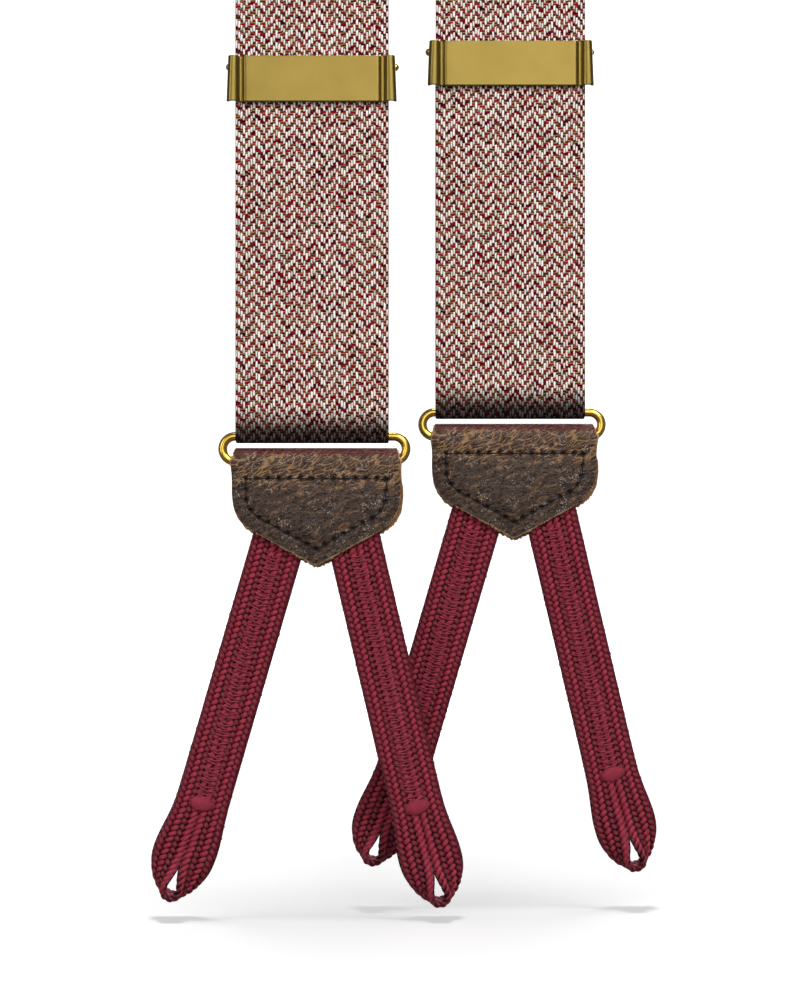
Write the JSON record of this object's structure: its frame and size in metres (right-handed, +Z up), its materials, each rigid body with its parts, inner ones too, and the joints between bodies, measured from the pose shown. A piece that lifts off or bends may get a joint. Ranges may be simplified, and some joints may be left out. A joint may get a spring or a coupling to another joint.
{
  "type": "button-on dress suspenders",
  "caption": "Y-back dress suspenders in herringbone webbing with brass adjusters and rings, leather tabs and braided button loops, hung over a rail.",
  "frame": {"origin": "on the axis of the rail that the webbing hangs over, midway between the two front straps", "axes": "+Z up, +X along the rail, -Y the front, which the outer faces of the front tabs and adjusters look along"},
  "size_m": [0.1252, 0.0543, 0.6981],
  "materials": {
    "twill_webbing": "herringbone twill in white, burgundy and gold",
    "rear_webbing": "ribbed elastic webbing",
    "web_thread": "thread",
    "tab_leather": "pebbled, with tan crackle",
    "lining_leather": "smooth",
    "tape_core": "braided tape ends",
    "tab_thread": "waxed thread",
    "braid": "flat braid",
    "leg_thread": "thread",
    "ring_brass": "polished",
    "face_brass": "satin",
    "pin_brass": "polished"
  },
  "bodies": {
    "webbing": {"left_upper_strap": "twill_webbing", "right_upper_strap": "twill_webbing", "left_front_run": "twill_webbing", "right_front_run": "twill_webbing", "patch_leather": "tab_leather", "patch_lining": "lining_leather", "patch_stitching": "tab_thread", "rear_elastic": "rear_webbing"},
    "left_strap_end_loop": {"left_strap_fold": "twill_webbing", "left_return_run": "twill_webbing"},
    "left_adjuster": {"left_adjuster_face": "face_brass", "left_adjuster_pin": "pin_brass", "left_tail_bar": "pin_brass", "left_strap_end": "twill_webbing", "left_end_stitching": "web_thread"},
    "left_lever": {"left_adjuster_lever": "pin_brass"},
    "left_ring": {"left_ring": "ring_brass"},
    "left_tab": {"left_tab_leather": "tab_leather", "left_tab_core": "tape_core", "left_tab_stitching": "tab_thread"},
    "left_outer_leg": {"left_outer_leg": "braid", "left_outer_leg_seam": "leg_thread", "left_outer_leg_bartack": "leg_thread"},
    "left_inner_leg": {"left_inner_leg": "braid", "left_inner_leg_seam": "leg_thread", "left_inner_leg_bartack": "leg_thread"},
    "right_strap_end_loop": {"right_strap_fold": "twill_webbing", "right_return_run": "twill_webbing"},
    "right_adjuster": {"right_adjuster_face": "face_brass", "right_adjuster_pin": "pin_brass", "right_tail_bar": "pin_brass", "right_strap_end": "twill_webbing", "right_end_stitching": "web_thread"},
    "right_lever": {"right_adjuster_lever": "pin_brass"},
    "right_ring": {"right_ring": "ring_brass"},
    "right_tab": {"right_tab_leather": "tab_leather", "right_tab_core": "tape_core", "right_tab_stitching": "tab_thread"},
    "right_inner_leg": {"right_inner_leg": "braid", "right_inner_leg_seam": "leg_thread", "right_inner_leg_bartack": "leg_thread"},
    "right_outer_leg": {"right_outer_leg": "braid", "right_outer_leg_seam": "leg_thread", "right_outer_leg_bartack": "leg_thread"},
    "rear_end_loop": {"rear_elastic_fold": "rear_webbing", "rear_fold_stitching": "web_thread"},
    "rear_ring": {"rear_ring": "ring_brass"},
    "rear_tab": {"rear_tab_leather": "tab_leather", "rear_tab_core": "tape_core", "rear_tab_stitching": "tab_thread"},
    "rear_left_leg": {"rear_left_leg": "braid", "rear_left_leg_seam": "leg_thread", "rear_left_leg_bartack": "leg_thread"},
    "rear_right_leg": {"rear_right_leg": "braid", "rear_right_leg_seam": "leg_thread", "rear_right_leg_bartack": "leg_thread"}
  },
  "joints": [
    {"name": "left_length", "type": "slide", "parent": "webbing", "child": "left_strap_end_loop", "axis": [0, 0, 1], "range_m": [-0.05, 0.06], "deforming": ["left_front_run"]},
    {"name": "left_adjust", "type": "slide", "parent": "left_strap_end_loop", "child": "left_adjuster", "axis": [0, 0, 1], "range_m": [-0.05, 0.06], "deforming": ["left_return_run"]},
    {"name": "left_lever_hinge", "type": "hinge", "parent": "left_adjuster", "child": "left_lever", "pos_m": [-0.0248, -0.02695, -0.465], "axis": [1, 0, 0], "range_deg": [0, 100]},
    {"name": "left_ring_swing", "type": "hinge", "parent": "left_strap_end_loop", "child": "left_ring", "pos_m": [-0.0248, -0.0274, -0.5565], "axis": [-1, 0, 0], "range_deg": [-2, 60]},
    {"name": "left_tab_swing", "type": "hinge", "parent": "left_ring", "child": "left_tab", "pos_m": [-0.0248, -0.0274, -0.5627], "axis": [-1, 0, 0], "range_deg": [-2, 60]},
    {"name": "left_outer_leg_flex", "type": "hinge", "parent": "left_tab", "child": "left_outer_leg", "pos_m": [-0.03444, -0.0274, -0.58336], "axis": [-0.877, 0, 0.4804], "range_deg": [-2, 30], "stiffness_Nm_per_rad": 0.004},
    {"name": "left_inner_leg_flex", "type": "hinge", "parent": "left_tab", "child": "left_inner_leg", "pos_m": [-0.01516, -0.0274, -0.58336], "axis": [-0.877, 0, -0.4804], "range_deg": [-2, 30], "stiffness_Nm_per_rad": 0.004},
    {"name": "right_length", "type": "slide", "parent": "webbing", "child": "right_strap_end_loop", "axis": [0, 0, 1], "range_m": [-0.05, 0.06], "deforming": ["right_front_run"]},
    {"name": "right_adjust", "type": "slide", "parent": "right_strap_end_loop", "child": "right_adjuster", "axis": [0, 0, 1], "range_m": [-0.05, 0.06], "deforming": ["right_return_run"]},
    {"name": "right_lever_hinge", "type": "hinge", "parent": "right_adjuster", "child": "right_lever", "pos_m": [0.0248, -0.01695, -0.4585], "axis": [1, 0, 0], "range_deg": [0, 100]},
    {"name": "right_ring_swing", "type": "hinge", "parent": "right_strap_end_loop", "child": "right_ring", "pos_m": [0.0248, -0.0174, -0.55], "axis": [-1, 0, 0], "range_deg": [-60, 2]},
    {"name": "right_tab_swing", "type": "hinge", "parent": "right_ring", "child": "right_tab", "pos_m": [0.0248, -0.0174, -0.5562], "axis": [-1, 0, 0], "range_deg": [-60, 2]},
    {"name": "right_inner_leg_flex", "type": "hinge", "parent": "right_tab", "child": "right_inner_leg", "pos_m": [0.01516, -0.0174, -0.57686], "axis": [-0.877, 0, 0.4804], "range_deg": [-30, 2], "stiffness_Nm_per_rad": 0.004},
    {"name": "right_outer_leg_flex", "type": "hinge", "parent": "right_tab", "child": "right_outer_leg", "pos_m": [0.03444, -0.0174, -0.57686], "axis": [-0.877, 0, -0.4804], "range_deg": [-30, 2], "stiffness_Nm_per_rad": 0.004},
    {"name": "rear_stretch", "type": "slide", "parent": "webbing", "child": "rear_end_loop", "axis": [0, 0, -1], "range_m": [0, 0.04], "stiffness_N_per_m": 400, "deforming": ["rear_elastic"]},
    {"name": "rear_ring_swing", "type": "hinge", "parent": "rear_end_loop", "child": "rear_ring", "pos_m": [0, 0.0174, -0.29], "axis": [1, 0, 0], "range_deg": [-4, 60]},
    {"name": "rear_tab_swing", "type": "hinge", "parent": "rear_ring", "child": "rear_tab", "pos_m": [0, 0.0174, -0.2962], "axis": [1, 0, 0], "range_deg": [-4, 60]},
    {"name": "rear_left_leg_flex", "type": "hinge", "parent": "rear_tab", "child": "rear_left_leg", "pos_m": [0.00964, 0.0174, -0.31686], "axis": [0.877, 0, 0.4804], "range_deg": [-4, 30], "stiffness_Nm_per_rad": 0.004},
    {"name": "rear_right_leg_flex", "type": "hinge", "parent": "rear_tab", "child": "rear_right_leg", "pos_m": [-0.00964, 0.0174, -0.31686], "axis": [0.877, 0, -0.4804], "range_deg": [-4, 30], "stiffness_Nm_per_rad": 0.004}
  ],
  "couplings": [
    {"joint": "left_adjust", "follows": "left_length", "ratio": 1},
    {"joint": "right_adjust", "follows": "right_length", "ratio": 1}
  ]
}
